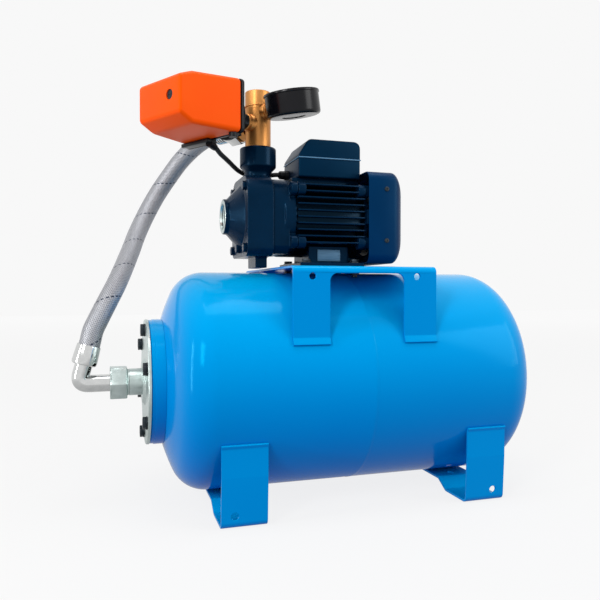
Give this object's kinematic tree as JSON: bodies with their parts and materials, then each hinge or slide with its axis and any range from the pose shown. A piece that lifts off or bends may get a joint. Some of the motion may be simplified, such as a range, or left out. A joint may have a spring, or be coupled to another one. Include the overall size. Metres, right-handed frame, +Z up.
{
  "type": "booster pump set",
  "caption": "Peripheral pump with finned motor on a horizontal membrane pressure vessel, with pressure switch, gauge and braided hose.",
  "frame": {"origin": "on the floor under the middle of the set", "axes": "+X along the vessel from its flange to its air valve, +Y to the rear, +Z up"},
  "size_m": [0.6117, 0.2887, 0.5179],
  "materials": {
    "vessel_paint": "glossy light blue paint, welded and painted together",
    "pump_paint": "semi-gloss dark blue paint on castings",
    "cover_plastic": "moulded blue fan cover",
    "orange_plastic": "moulded orange switch cover",
    "black_plastic": "black moulding",
    "zinc_plate": "zinc-plated steel",
    "chrome_plate": "chrome plate",
    "bare_brass": "bare brass",
    "steel": "ground steel",
    "lamination": "stacked laminations, oiled",
    "copper": "enamelled copper wire",
    "can": "drawn can",
    "rubber": "black rubber",
    "braid": "steel braid over rubber",
    "white_plastic": "white, matt",
    "graphite": "black, satin",
    "lens": "clear lens"
  },
  "bodies": {
    "pump_set": {"tank_shell_left": "vessel_paint", "tank_shell_right": "vessel_paint", "neck_ring": "vessel_paint", "foot_left": "vessel_paint", "foot_right": "vessel_paint", "pump_bracket": "vessel_paint", "pump_casing": "pump_paint", "motor_lantern": "pump_paint", "stator_housing": "pump_paint", "rear_shield": "pump_paint", "motor_base": "pump_paint", "terminal_box": "pump_paint", "terminal_box_lid": "pump_paint", "fan_cover": "cover_plastic", "switch_cover": "orange_plastic", "terminal_gland": "black_plastic", "switch_base": "black_plastic", "gauge_case": "black_plastic", "switch_lead": "black_plastic", "tank_flange": "zinc_plate", "flange_bolt_1": "zinc_plate", "flange_bolt_2": "zinc_plate", "flange_bolt_3": "zinc_plate", "flange_bolt_4": "zinc_plate", "flange_bolt_5": "zinc_plate", "flange_bolt_6": "zinc_plate", "switch_connection": "zinc_plate", "hose_nut_bottom": "zinc_plate", "hose_end_top": "chrome_plate", "hose_end_bottom": "chrome_plate", "air_valve_body": "bare_brass", "five_way_fitting": "bare_brass", "gauge_stem": "bare_brass", "air_valve_spring": "steel", "front_bearing_outer": "steel", "rear_bearing_outer": "steel", "switch_spring": "steel", "stator_core": "lamination", "stator_windings": "copper", "capacitor": "can", "tank_membrane": "rubber", "casing_oring": "rubber", "switch_diaphragm": "rubber", "braided_hose": "braid", "gauge_dial": "white_plastic", "seal_seat": "white_plastic", "switch_contacts": "white_plastic", "gauge_lens": "lens"},
    "rotor": {"motor_shaft": "steel", "rotor_core": "lamination", "impeller": "bare_brass", "seal_head": "graphite", "fan": "black_plastic", "front_bearing_inner": "steel", "rear_bearing_inner": "steel"},
    "pointer": {"gauge_pointer": "graphite"},
    "plunger": {"switch_plunger": "bare_brass"},
    "lever": {"switch_lever": "zinc_plate"},
    "valve_pin": {"air_valve_pin": "bare_brass"},
    "valve_cap": {"air_valve_cap": "black_plastic"}
  },
  "joints": [
    {"name": "rotor_spin", "type": "hinge", "parent": "pump_set", "child": "rotor", "pos_m": [0, 0, 0.3565], "axis": [1, 0, 0], "continuous": true},
    {"name": "pointer_turn", "type": "hinge", "parent": "pump_set", "child": "pointer", "pos_m": [-0.07037, -0.05245, 0.491], "axis": [0.1641, 0.0974, -0.9816], "range_deg": [0, 270], "stiffness_Nm_per_rad": 0.0005},
    {"name": "plunger_slide", "type": "slide", "parent": "pump_set", "child": "plunger", "axis": [-0.8599, -0.5105, 0], "range_m": [0, 0.0015], "stiffness_N_per_m": 1000},
    {"name": "lever_tilt", "type": "hinge", "parent": "pump_set", "child": "lever", "pos_m": [-0.1703, -0.04084, 0.4566], "axis": [-0.5105, 0.8599, 0], "range_deg": [-4.35, 0], "deforming": ["switch_spring"]},
    {"name": "valve_pin_slide", "type": "slide", "parent": "pump_set", "child": "valve_pin", "axis": [-1, 0, 0], "range_m": [0, 0.0015], "stiffness_N_per_m": 300, "deforming": ["air_valve_spring"]},
    {"name": "valve_cap_slide", "type": "slide", "parent": "pump_set", "child": "valve_cap", "axis": [1, 0, 0], "range_m": [0, 0.035]}
  ],
  "couplings": [
    {"joint": "lever_tilt", "follows": "plunger_slide", "rad_per_m": -50}
  ]
}
